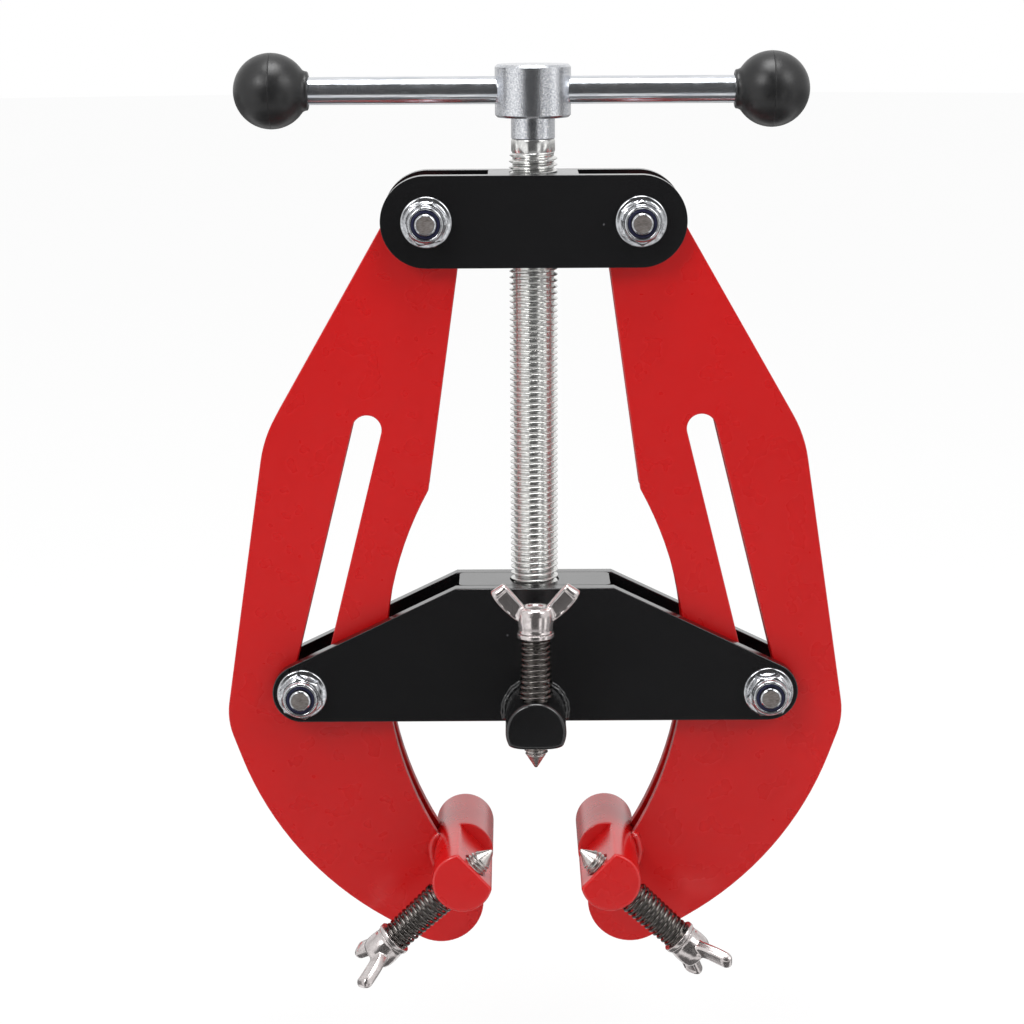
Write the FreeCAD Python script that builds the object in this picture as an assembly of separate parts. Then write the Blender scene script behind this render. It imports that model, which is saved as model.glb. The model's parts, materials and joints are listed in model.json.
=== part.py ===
import FreeCAD, Part
import math
import os

# Pipe fit-up clamp: a T-handle screw draws a black upper link towards a black lower crossbar. Two red
# double-plate arms hang from the link, and the crossbar's bolts run in their slots, so the arms open and
# close together. Three round bars centre the pipe, and each carries a pointed wing screw with a spring.
# Frame: origin on the pipe's centreline, +Z up along the main screw, +Y along the pipe, away from the
# side that carries the wing screws. All lengths are millimetres, and the clamp is closed.

Vec = FreeCAD.Vector
Y_AXIS = Vec(0, 1, 0)
Z_AXIS = Vec(0, 0, 1)

# ---- Driving dimensions ----
FIT = 0.05                    # radial clearance of a running fit

PIPE_RADIUS = 21.75           # smallest pipe that the three bars centre
BAR_RADIUS = 10.0             # round contact bars
BAR_FRONT_Y = -40.0
BAR_REAR_Y = 24.0
BAR_FLAT_DEPTH = 5.85         # from a bar's axis to its milled flat
BAR_FLAT_END_Y = -8.5
JAW_ANGLE = 129.2             # from straight up to each jaw bar, about the pipe
JAW_TURN = 133.0              # which way a closed jaw bar's wing screw points, from straight up

LINK_PIN_X = 34.8             # arm pivots on the link
LINK_PIN_Z = 196.1
LINK_END_RADIUS = 15.0
CROSSBAR_PIN_X = 78.45        # guide bolts on the crossbar
CROSSBAR_PIN_Z = 38.0
CROSSBAR_END_RADIUS = 10.0
CROSSBAR_TOP_Z = 74.1
CROSSBAR_TOP_HALF = 26.4      # half of the crossbar's flat top edge

BLACK_PLATE = 5.0             # plate thicknesses and the gaps between them
BLOCK_DEPTH = 18.0
ARM_PLATE = 4.0
ARM_GAP = 8.0
LINK_BLOCK_HALF = 14.8
CROSSBAR_BLOCK_HALF = 25.4
CROSSBAR_BLOCK_BOTTOM_Z = 45.0

BOLT_RADIUS = 3.97            # M8
BOLT_HOLE_RADIUS = 4.05
SLOT_WIDTH = 9.8
SLOT_SLOPE = math.atan(0.25)  # the slots lean outwards going down
SLOT_TOP_Z = 126.9
SLOT_OVERRUN = 1.0            # from the guide bolt to the slot's lower centre
SLOT_OFFSET = 0.68            # the guide bolt leans this far towards the slot's outer wall when closed

SCREW_MAJOR = 7.95            # M16 x 2, rolled on a blank of the pitch diameter
SCREW_MINOR = 6.77
SCREW_PITCH = 2.0
SCREW_BLANK = 7.2
SCREW_TOP_Z = 222.1
SCREW_THREAD_TOP_Z = 217.7
JOURNAL_RADIUS = 6.75
JOURNAL_TOP_Z = 66.0
JOURNAL_BOTTOM_Z = 50.0
COUNTERBORE_RADIUS = 8.3
GROOVE_RADIUS = 4.85
GROOVE_WIDTH = 4.4
GROOVE_Z = 57.0
RETAINING_PIN_RADIUS = 2.0
SPIGOT_RADIUS = 5.0
SPIGOT_TOP_Z = 231.0

HUB_RADIUS = 12.4
HUB_BOTTOM_Z = 228.9
HUB_TOP_Z = 245.9
HUB_CHAMFER = 0.8
TOMMY_RADIUS = 4.5
TOMMY_Z = 237.6
KNOB_RADIUS = 12.3
KNOB_LEFT_X = -85.2
KNOB_RIGHT_X = 77.8
KNOB_COLLAR_RADIUS = 6.3
KNOB_COLLAR_REACH = 12.2      # from a knob's centre to its collar's face
KNOB_SOCKET_DEPTH = 6.0       # the bar runs this far past a knob's collar face

JACK_Y = -33.5                # wing screws; s is the distance outwards from a bar's axis
STUD_MAJOR = 3.95             # M8 x 1.25
STUD_MINOR = 3.25
STUD_PITCH = 1.25
STUD_TIP_S = -14.0
STUD_CONE = 4.9
STUD_TOP_S = 39.0
SPRING_START_S = 10.1
SPRING_END_S = 31.0
SPRING_COIL_RADIUS = 4.7
SPRING_WIRE_RADIUS = 0.6
SPRING_TURNS = 10.5
WASHER_RADIUS = 6.1
WASHER_THICKNESS = 1.5
WING_HUB_RADIUS = 5.7
WING_HUB_TOP_S = 41.2
WING_THICKNESS = 4.2
LEFT_WING_TURN = 82.0         # each wing screw's resting turn about its own axis, in degrees
RIGHT_WING_TURN = 53.0
CENTRE_WING_TURN = 0.0

NUT_FLANGE_RADIUS = 8.3       # M8 flange lock nut and flange bolt
NUT_HEX_HALF = 6.5
NUT_FLANGE = 1.6
NUT_HEX_HEIGHT = 6.6
NUT_HEIGHT = 8.2
INSERT_RADIUS = 4.9
BOLT_END = 1.0                # how far a bolt stands out of its nut
BOLT_HEAD_HEIGHT = 6.4

# ---- Derived places ----
LINK_HALF = BLOCK_DEPTH / 2 + BLACK_PLATE
SEAT_RADIUS = PIPE_RADIUS + BAR_RADIUS
JAW_X = SEAT_RADIUS * math.sin(math.radians(JAW_ANGLE))
JAW_Z = SEAT_RADIUS * math.cos(math.radians(JAW_ANGLE))
ARM_FRONT_Y = -ARM_GAP / 2 - ARM_PLATE
ARM_BACK_Y = ARM_GAP / 2
RETAINING_PIN_X = GROOVE_RADIUS + RETAINING_PIN_RADIUS + 0.2

os.makedirs("parts", exist_ok=True)


def save(name, *solids):
    """Write one sub-part, which may be several identical solids, to its own file."""
    shape = solids[0] if len(solids) == 1 else Part.makeCompound(list(solids))
    shape.exportStep(f"parts/{name}.step")


def cylinder_y(x, z, radius, y0, y1):
    return Part.makeCylinder(radius, y1 - y0, Vec(x, y0, z), Y_AXIS)


def cylinder_z(radius, z0, z1, x=0.0, y=0.0):
    return Part.makeCylinder(radius, z1 - z0, Vec(x, y, z0), Z_AXIS)


def box(x0, x1, y0, y1, z0, z1):
    return Part.makeBox(x1 - x0, y1 - y0, z1 - z0, Vec(x0, y0, z0))


def mirrored(shape):
    """The left-hand copy of a right-hand shape."""
    return shape.mirror(Vec(0, 0, 0), Vec(1, 0, 0))


def revolved(profile):
    """A solid of revolution about Z from a list of (radius, z) points."""
    points = [Vec(r, 0, z) for r, z in profile]
    face = Part.Face(Part.makePolygon(points + points[:1]))
    return face.revolve(Vec(0, 0, 0), Z_AXIS, 360)


def rounded_outline(corners, y):
    """A closed wire at depth y through (x, z, radius) corners, with each corner rounded by a tangent arc."""
    edges = []
    ends = []
    count = len(corners)
    for i, (x, z, radius) in enumerate(corners):
        here = Vec(x, y, z)
        before = Vec(corners[i - 1][0], y, corners[i - 1][1])
        after = Vec(corners[(i + 1) % count][0], y, corners[(i + 1) % count][1])
        if radius == 0:
            ends.append((here, here))
            edges.append(None)
            continue
        u = (before - here).normalize()
        w = (after - here).normalize()
        half = u.getAngle(w) / 2
        start = here + u * (radius / math.tan(half))
        end = here + w * (radius / math.tan(half))
        middle = here + (u + w).normalize() * (radius / math.sin(half) - radius)
        ends.append((start, end))
        edges.append(Part.Arc(start, middle, end).toShape())
    path = []
    for i in range(count):
        if edges[i]:
            path.append(edges[i])
        path.append(Part.makeLine(ends[i][1], ends[(i + 1) % count][0]))
    return Part.Wire(path)


def plate(wire, thickness):
    return Part.Face(wire).extrude(Vec(0, thickness, 0))


def threaded_profile(major, minor, pitch, z0, z1):
    """Right-hand side of a thread shown as rings, from z0 up to z1."""
    points = []
    turns = int((z1 - z0) / pitch)
    for i in range(turns):
        z = z0 + i * pitch
        points += [(minor, z + 0.06 * pitch), (major, z + 0.44 * pitch), (major, z + 0.56 * pitch)]
        points.append((minor, z + 0.94 * pitch))
    return points


# ---- Fasteners shared by the link and the crossbar ----

def hexagon_y(x, z, half_flats, y0, y1):
    across_corners = half_flats / math.cos(math.pi / 6)
    points = [Vec(x + across_corners * math.cos(math.radians(60 * i)), y0,
                  z + across_corners * math.sin(math.radians(60 * i))) for i in range(7)]
    return Part.Face(Part.makePolygon(points)).extrude(Vec(0, y1 - y0, 0))


def flange_bolt(x, z):
    """M8 bolt from the back, its head outside the back plate and its end just past the nut."""
    end_y = -LINK_HALF - NUT_HEIGHT - BOLT_END
    shank = cylinder_y(x, z, BOLT_RADIUS, end_y, LINK_HALF)
    tip = Part.makeCone(BOLT_RADIUS - 0.8, BOLT_RADIUS, 0.8, Vec(x, end_y, z), Y_AXIS)
    shank = shank.cut(cylinder_y(x, z, 2 * BOLT_RADIUS, end_y, end_y + 0.8)).fuse(tip)
    flange = Part.makeCone(NUT_FLANGE_RADIUS, NUT_HEX_HALF + 0.6, NUT_FLANGE, Vec(x, LINK_HALF, z), Y_AXIS)
    head = hexagon_y(x, z, NUT_HEX_HALF, LINK_HALF, LINK_HALF + BOLT_HEAD_HEIGHT)
    return shank.fuse(flange).fuse(head).removeSplitter()


def flange_nut(x, z):
    """M8 flange nut in front of the front plate, with a round collar that holds the locking insert."""
    face = -LINK_HALF
    flange = Part.makeCone(NUT_FLANGE_RADIUS, NUT_HEX_HALF + 0.6, NUT_FLANGE, Vec(x, face, z), Vec(0, -1, 0))
    body = hexagon_y(x, z, NUT_HEX_HALF, face - NUT_HEX_HEIGHT, face)
    collar = cylinder_y(x, z, NUT_HEX_HALF - 0.4, face - NUT_HEIGHT, face)
    nut = body.fuse([flange, collar])
    nut = nut.cut(cylinder_y(x, z, BOLT_RADIUS + 0.02, face - NUT_HEIGHT - 1, face + 1))
    seat = cylinder_y(x, z, INSERT_RADIUS + 0.01, face - NUT_HEIGHT - 1, face - NUT_HEX_HEIGHT + 0.5)
    return nut.cut(seat).removeSplitter()


def nut_insert(x, z):
    outside = cylinder_y(x, z, INSERT_RADIUS, -LINK_HALF - NUT_HEIGHT + 0.4, -LINK_HALF - NUT_HEX_HEIGHT + 0.5)
    return outside.cut(cylinder_y(x, z, BOLT_RADIUS + 0.02, -LINK_HALF - NUT_HEIGHT - 1, -LINK_HALF))


def save_fastener_pairs(prefix, x, z):
    save(prefix + "_bolts", flange_bolt(-x, z), flange_bolt(x, z))
    save(prefix + "_nuts", flange_nut(-x, z), flange_nut(x, z))
    save(prefix + "_nut_inserts", nut_insert(-x, z), nut_insert(x, z))


# ---- Round contact bars ----

def at_bar(x, z, turn):
    """Placement for a shape built about its bar's axis with +Z pointing away from the pipe."""
    return FreeCAD.Placement(Vec(x, 0, z), FreeCAD.Rotation(Y_AXIS, turn))


LUG_PLACE = at_bar(0, SEAT_RADIUS, 0)
JAW_PLACE = at_bar(JAW_X, JAW_Z, JAW_TURN)


def contact_bar(place):
    """Round bar with its front half milled flat towards the pipe, and a cross hole for its wing screw."""
    bar = cylinder_y(0, 0, BAR_RADIUS, BAR_FRONT_Y, BAR_REAR_Y)
    bar = bar.cut(box(-20, 20, BAR_FRONT_Y - 1, BAR_FLAT_END_Y, -20, -BAR_FLAT_DEPTH))
    bar = bar.cut(cylinder_z(STUD_MAJOR + FIT, -20, 20, 0, JACK_Y))
    bar.Placement = place
    return bar


def weld_ring(x, z, face_y, start, end):
    """Fillet weld where a bar meets a plate's front face, between two turns about the bar."""
    profile = [(BAR_RADIUS, face_y), (BAR_RADIUS + 1.9, face_y), (BAR_RADIUS, face_y - 1.9)]
    points = [Vec(r, y, 0) for r, y in profile]
    ring = Part.Face(Part.makePolygon(points + points[:1])).revolve(Vec(0, 0, 0), Y_AXIS, end - start)
    ring.Placement = at_bar(x, z, start)
    return ring


# ---- Crossbar ----

def crossbar_outline(y):
    """Trapezium whose sloping top edges run tangent to the round ends about the guide bolts."""
    to_pin = Vec(CROSSBAR_PIN_X - CROSSBAR_TOP_HALF, 0, CROSSBAR_PIN_Z - CROSSBAR_TOP_Z)
    slope = math.atan2(to_pin.z, to_pin.x) + math.asin(CROSSBAR_END_RADIUS / to_pin.Length)
    normal = Vec(-math.sin(slope), 0, math.cos(slope)) * CROSSBAR_END_RADIUS
    pin = Vec(CROSSBAR_PIN_X, y, CROSSBAR_PIN_Z)
    upper = pin + normal
    tip = pin + Vec(CROSSBAR_END_RADIUS, 0, 0)
    lower = pin - Vec(0, 0, CROSSBAR_END_RADIUS)
    top = Vec(CROSSBAR_TOP_HALF, y, CROSSBAR_TOP_Z)
    right = [Part.makeLine(top, upper), Part.Arc(upper, tip, lower).toShape()]
    left = [edge.mirror(Vec(0, 0, 0), Vec(1, 0, 0)) for edge in right]
    top_line = Part.makeLine(Vec(-top.x, y, top.z), top)
    bottom_line = Part.makeLine(lower, Vec(-lower.x, y, lower.z))
    return Part.Wire(Part.__sortEdges__([top_line] + right + [bottom_line] + left))


def crossbar_plate(y):
    shape = plate(crossbar_outline(y), BLACK_PLATE)
    shape = shape.cut(cylinder_y(0, SEAT_RADIUS, BAR_RADIUS, y - 1, y + BLACK_PLATE + 1))
    for x in (-CROSSBAR_PIN_X, CROSSBAR_PIN_X):
        shape = shape.cut(cylinder_y(x, CROSSBAR_PIN_Z, BOLT_HOLE_RADIUS, y - 1, y + BLACK_PLATE + 1))
    return shape


def crossbar_block():
    """Block between the crossbar's plates, bored for the screw's journal and cross-drilled for its pins."""
    half = BLOCK_DEPTH / 2
    width = CROSSBAR_BLOCK_HALF
    block = box(-width, width, -half, half, CROSSBAR_BLOCK_BOTTOM_Z, CROSSBAR_TOP_Z)
    upright = [e for e in block.Edges if abs(e.Vertexes[0].Z - e.Vertexes[1].Z) > 1]
    block = block.makeFillet(2.0, upright)
    block = block.cut(cylinder_z(JOURNAL_RADIUS + FIT, JOURNAL_BOTTOM_Z - 0.5, CROSSBAR_TOP_Z + 1))
    block = block.cut(cylinder_z(COUNTERBORE_RADIUS, JOURNAL_TOP_Z - FIT, CROSSBAR_TOP_Z + 1))
    for x in (-RETAINING_PIN_X, RETAINING_PIN_X):
        block = block.cut(cylinder_y(x, GROOVE_Z, RETAINING_PIN_RADIUS, -half - 1, half + 1))
    return block


def retaining_pin(x):
    return cylinder_y(x, GROOVE_Z, RETAINING_PIN_RADIUS, -BLOCK_DEPTH / 2, BLOCK_DEPTH / 2)


save("crossbar_front_plate", crossbar_plate(-LINK_HALF))
save("crossbar_back_plate", crossbar_plate(BLOCK_DEPTH / 2))
save("crossbar_block", crossbar_block())
save("retaining_pins", retaining_pin(-RETAINING_PIN_X), retaining_pin(RETAINING_PIN_X))
save("centre_lug", contact_bar(LUG_PLACE))
save("centre_lug_weld", weld_ring(0, SEAT_RADIUS, -LINK_HALF, -200, 20))
save_fastener_pairs("crossbar", CROSSBAR_PIN_X, CROSSBAR_PIN_Z)


# ---- Upper link ----

def link_plate(y):
    x = LINK_PIN_X
    radius = LINK_END_RADIUS
    shape = box(-x, x, y, y + BLACK_PLATE, LINK_PIN_Z - radius, LINK_PIN_Z + radius)
    ends = [cylinder_y(side * x, LINK_PIN_Z, radius, y, y + BLACK_PLATE) for side in (-1, 1)]
    holes = [cylinder_y(side * x, LINK_PIN_Z, BOLT_HOLE_RADIUS, y - 1, y + BLACK_PLATE + 1) for side in (-1, 1)]
    return shape.fuse(ends).removeSplitter().cut(holes)


def threaded_block():
    half = BLOCK_DEPTH / 2
    width = LINK_BLOCK_HALF
    block = box(-width, width, -half, half, LINK_PIN_Z - LINK_END_RADIUS, LINK_PIN_Z + LINK_END_RADIUS)
    return block.cut(cylinder_z(SCREW_MAJOR + FIT, LINK_PIN_Z - 30, LINK_PIN_Z + 30))


save("link_front_plate", link_plate(-LINK_HALF))
save("link_back_plate", link_plate(BLOCK_DEPTH / 2))
save("threaded_block", threaded_block())
save_fastener_pairs("link", LINK_PIN_X, LINK_PIN_Z)


# ---- Main screw and T-handle ----

def main_screw():
    """Threaded rod with a spigot for the hub on top and a grooved journal that turns in the crossbar."""
    groove = GROOVE_WIDTH / 2
    thread = threaded_profile(SCREW_MAJOR, SCREW_MINOR, SCREW_PITCH, JOURNAL_TOP_Z + 1, SCREW_THREAD_TOP_Z)
    profile = [(0, JOURNAL_BOTTOM_Z), (JOURNAL_RADIUS - 0.6, JOURNAL_BOTTOM_Z),
               (JOURNAL_RADIUS, JOURNAL_BOTTOM_Z + 0.6),
               (JOURNAL_RADIUS, GROOVE_Z - groove), (GROOVE_RADIUS, GROOVE_Z - groove),
               (GROOVE_RADIUS, GROOVE_Z + groove), (JOURNAL_RADIUS, GROOVE_Z + groove),
               (JOURNAL_RADIUS, JOURNAL_TOP_Z), (SCREW_BLANK, JOURNAL_TOP_Z),
               (SCREW_BLANK, JOURNAL_TOP_Z + 1)]
    profile += thread
    profile += [(SCREW_BLANK, thread[-1][1] + 0.4), (SCREW_BLANK, SCREW_TOP_Z),
                (SPIGOT_RADIUS, SCREW_TOP_Z), (SPIGOT_RADIUS, SPIGOT_TOP_Z), (0, SPIGOT_TOP_Z)]
    return revolved(profile)


def handle_hub():
    """Round boss on the screw, cross-bored for the sliding bar, with a neck down to the thread."""
    edge = HUB_CHAMFER
    hub = revolved([(0, SCREW_TOP_Z), (SCREW_BLANK, SCREW_TOP_Z), (SCREW_BLANK, HUB_BOTTOM_Z),
                    (HUB_RADIUS - edge, HUB_BOTTOM_Z), (HUB_RADIUS, HUB_BOTTOM_Z + edge),
                    (HUB_RADIUS, HUB_TOP_Z - edge), (HUB_RADIUS - edge, HUB_TOP_Z), (0, HUB_TOP_Z)])
    hub = hub.cut(cylinder_z(SPIGOT_RADIUS, SCREW_TOP_Z - 1, SPIGOT_TOP_Z))
    cross_bore = Part.makeCylinder(TOMMY_RADIUS + FIT, 40, Vec(-20, 0, TOMMY_Z), Vec(1, 0, 0))
    return hub.cut(cross_bore)


def tommy_bar():
    start = KNOB_LEFT_X + KNOB_COLLAR_REACH - KNOB_SOCKET_DEPTH
    end = KNOB_RIGHT_X - KNOB_COLLAR_REACH + KNOB_SOCKET_DEPTH
    return Part.makeCylinder(TOMMY_RADIUS, end - start, Vec(start, 0, TOMMY_Z), Vec(1, 0, 0))


def knob(x, towards_hub):
    """Ball knob with a short collar, bored for the bar's end."""
    axis = Vec(towards_hub, 0, 0)
    ball = Part.makeSphere(KNOB_RADIUS, Vec(x, 0, TOMMY_Z))
    collar = Part.makeCylinder(KNOB_COLLAR_RADIUS, KNOB_COLLAR_REACH, Vec(x, 0, TOMMY_Z), axis)
    mouth = Vec(x + towards_hub * (KNOB_COLLAR_REACH - KNOB_SOCKET_DEPTH), 0, TOMMY_Z)
    socket = Part.makeCylinder(TOMMY_RADIUS, KNOB_SOCKET_DEPTH + 1, mouth, axis)
    return ball.fuse(collar).cut(socket)


save("main_screw", main_screw())
save("handle_hub", handle_hub())
save("tommy_bar", tommy_bar())
save("left_knob", knob(KNOB_LEFT_X, 1))
save("right_knob", knob(KNOB_RIGHT_X, -1))


# ---- Arms: built on the right, mirrored to the left ----

ARM_END_RADIUS = 12.0                    # round top about the pivot
ARM_SHOULDER = (89.8, 124.5, 43.4)       # outer corners, each (x, z, radius)
ARM_ELBOW = (104.7, 27.2, 24.0)
ARM_HIP = (86.5, -23.7, 110.3)
ARM_LOBE = (18.0, -64.3, 14.7)
ARM_INNER_LOW = Vec(35.3, 0, 106.4)      # where the straight inner edge meets the concave one
PIPE_ARC_RADIUS = 121.8                  # concave inner edge that clears a large pipe
PIPE_ARC_MIDDLE_Z = 47.7


def tangent_point(centre, radius, outside, side):
    """Where a line from an outside point touches the circle, on the chosen side."""
    away = outside - centre
    turn = side * math.acos(radius / away.Length)
    start = math.atan2(away.z, away.x) + turn
    return centre + Vec(math.cos(start), 0, math.sin(start)) * radius


def arm_outline(y):
    pivot = Vec(LINK_PIN_X, 0, LINK_PIN_Z)
    shoulder = Vec(ARM_SHOULDER[0], 0, ARM_SHOULDER[1])
    outer = tangent_point(pivot, ARM_END_RADIUS, shoulder, 1)
    inner = tangent_point(pivot, ARM_END_RADIUS, ARM_INNER_LOW, -1)
    corners = [(pivot.x, pivot.z, 0), (outer.x, outer.z, 0), ARM_SHOULDER, ARM_ELBOW, ARM_HIP, ARM_LOBE,
               (ARM_LOBE[0], JAW_Z, 0), (JAW_X, JAW_Z, 0),
               (ARM_INNER_LOW.x, ARM_INNER_LOW.z, 0), (inner.x, inner.z, 0)]
    return rounded_outline(corners, y)


def arm_plate(y):
    """One red plate: pivot eye, sloping slot, and a concave edge that ends at the jaw bar."""
    near, far = y - 1, y + ARM_PLATE + 1
    shape = plate(arm_outline(y), ARM_PLATE)
    shape = shape.fuse(cylinder_y(LINK_PIN_X, LINK_PIN_Z, ARM_END_RADIUS, y, y + ARM_PLATE))
    shape = shape.removeSplitter()
    reach = PIPE_ARC_RADIUS
    drop = ARM_INNER_LOW.z - PIPE_ARC_MIDDLE_Z
    arc_x = ARM_INNER_LOW.x - math.sqrt(reach ** 2 - drop ** 2)
    pipe_space = cylinder_y(arc_x, PIPE_ARC_MIDDLE_Z, reach, near, far)
    window = box(ARM_LOBE[0] - 1, 60, near, far, JAW_Z, ARM_INNER_LOW.z)
    shape = shape.cut(pipe_space.common(window))
    shape = shape.cut(cylinder_y(JAW_X, JAW_Z, BAR_RADIUS, near, far))
    shape = shape.cut(cylinder_y(LINK_PIN_X, LINK_PIN_Z, BOLT_HOLE_RADIUS, near, far))
    shape = shape.cut(slot(near, far))
    return shape


def slot(near, far):
    """Sloping slot that the guide bolt runs in, with round ends."""
    along = Vec(math.sin(SLOT_SLOPE), 0, -math.cos(SLOT_SLOPE))
    across = Vec(math.cos(SLOT_SLOPE), 0, math.sin(SLOT_SLOPE))
    low = Vec(CROSSBAR_PIN_X, near, CROSSBAR_PIN_Z) - across * SLOT_OFFSET + along * SLOT_OVERRUN
    high = low - along * ((SLOT_TOP_Z - low.z) / math.cos(SLOT_SLOPE))
    half = across * (SLOT_WIDTH / 2)
    middle = Part.makePolygon([low + half, high + half, high - half, low - half, low + half])
    middle = Part.Face(middle).extrude(Vec(0, far - near, 0))
    ends = [cylinder_y(p.x, p.z, SLOT_WIDTH / 2, near, far) for p in (low, high)]
    return middle.fuse(ends)


def arm_spacer():
    """Ring on the pivot bolt that keeps the arm's two plates apart."""
    ring = cylinder_y(LINK_PIN_X, LINK_PIN_Z, 8.0, -ARM_GAP / 2, ARM_GAP / 2)
    return ring.cut(cylinder_y(LINK_PIN_X, LINK_PIN_Z, BOLT_HOLE_RADIUS, -10, 10))


right_arm = {
    "arm_front_plate": arm_plate(ARM_FRONT_Y),
    "arm_back_plate": arm_plate(ARM_BACK_Y),
    "arm_spacer": arm_spacer(),
    "jaw_bar": contact_bar(JAW_PLACE),
    "jaw_weld": weld_ring(JAW_X, JAW_Z, ARM_FRONT_Y, -35, 140),
}
for name, shape in right_arm.items():
    save("right_" + name, shape)
    save("left_" + name, mirrored(shape))


# ---- Wing screws, built along +Z from the bar's axis and then turned outwards ----

def stud():
    """M8 stud with a cone point towards the pipe."""
    thread_start = STUD_TIP_S + STUD_CONE
    thread = threaded_profile(STUD_MAJOR, STUD_MINOR, STUD_PITCH, thread_start, STUD_TOP_S - 8)
    last = thread[-1][1] + 0.3
    profile = [(0, STUD_TIP_S), (STUD_MINOR, thread_start)] + thread
    profile += [(STUD_MAJOR, last), (STUD_MAJOR, STUD_TOP_S), (0, STUD_TOP_S)]
    return revolved(profile)


def wing(side):
    """One blade of the wing head, leaning outwards from the hub."""
    inner_foot = Vec(3.2, 0, 40.3)
    outer_foot = Vec(3.2, 0, 34.8)
    outer_bow = Vec(10.9, 0, 39.4)
    outer_tip = Vec(15.0, 0, 46.0)
    inner_tip = Vec(10.2, 0, 49.2)
    edges = [Part.Arc(outer_foot, outer_bow, outer_tip).toShape(), Part.makeLine(outer_tip, inner_tip),
             Part.makeLine(inner_tip, inner_foot), Part.makeLine(inner_foot, outer_foot)]
    blade = Part.Face(Part.Wire(edges)).extrude(Vec(0, WING_THICKNESS, 0))
    blade.translate(Vec(0, -WING_THICKNESS / 2, 0))
    tip_edges = [e for e in blade.Edges if abs(e.Vertexes[0].Y - e.Vertexes[1].Y) > 1 and e.Vertexes[0].X > 8]
    blade = blade.makeFillet(1.0, tip_edges)
    return blade if side > 0 else mirrored(blade)


def wing_head():
    """Hub with a base flange, a domed top with a shallow dimple, and two blades, on the stud's end."""
    base = SPRING_END_S + WASHER_THICKNESS + FIT
    hub = revolved([(0, base), (6.1, base), (6.1, base + 1.7), (WING_HUB_RADIUS, base + 2.1),
                    (WING_HUB_RADIUS, WING_HUB_TOP_S - 1.6), (WING_HUB_RADIUS - 0.6, WING_HUB_TOP_S - 0.6),
                    (WING_HUB_RADIUS - 1.9, WING_HUB_TOP_S), (2.6, WING_HUB_TOP_S),
                    (2.2, WING_HUB_TOP_S - 0.7), (0, WING_HUB_TOP_S - 0.7)])
    head = hub.fuse([wing(1), wing(-1)]).removeSplitter()
    return head.cut(cylinder_z(STUD_MAJOR, base - 1, STUD_TOP_S))


def washer():
    ring = cylinder_z(WASHER_RADIUS, SPRING_END_S, SPRING_END_S + WASHER_THICKNESS)
    return ring.cut(cylinder_z(STUD_MAJOR + FIT, SPRING_END_S - 1, SPRING_END_S + WASHER_THICKNESS + 1))


def spring():
    """Round-wire compression spring between the bar and the washer."""
    low = SPRING_START_S + SPRING_WIRE_RADIUS
    high = SPRING_END_S - SPRING_WIRE_RADIUS - FIT
    helix = Part.makeHelix((high - low) / SPRING_TURNS, high - low, SPRING_COIL_RADIUS)
    helix.translate(Vec(0, 0, low))
    ring = Part.Circle(Vec(SPRING_COIL_RADIUS, 0, low), Y_AXIS, SPRING_WIRE_RADIUS)
    wire = Part.Wire(ring.toShape())
    return Part.Wire(helix).makePipeShell([wire], True, True)


def place_jack(shape, wing_turn, bar_place):
    turned = FreeCAD.Placement(Vec(0, JACK_Y, 0), FreeCAD.Rotation(Z_AXIS, wing_turn))
    shape = shape.copy()
    shape.Placement = bar_place.multiply(turned)
    return shape


JACKS = {
    "left": (LEFT_WING_TURN, at_bar(-JAW_X, JAW_Z, -JAW_TURN)),
    "right": (RIGHT_WING_TURN, JAW_PLACE),
    "centre": (CENTRE_WING_TURN, LUG_PLACE),
}
jack_parts = {"jack_stud": stud(), "jack_wings": wing_head(), "jack_washer": washer(), "jack_spring": spring()}
for side, (wing_turn, bar_place) in JACKS.items():
    for name, shape in jack_parts.items():
        save(f"{side}_{name}", place_jack(shape, wing_turn, bar_place))
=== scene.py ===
import json
import math

import bmesh
import bpy
import numpy as np
from mathutils import Matrix, Vector, noise


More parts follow.
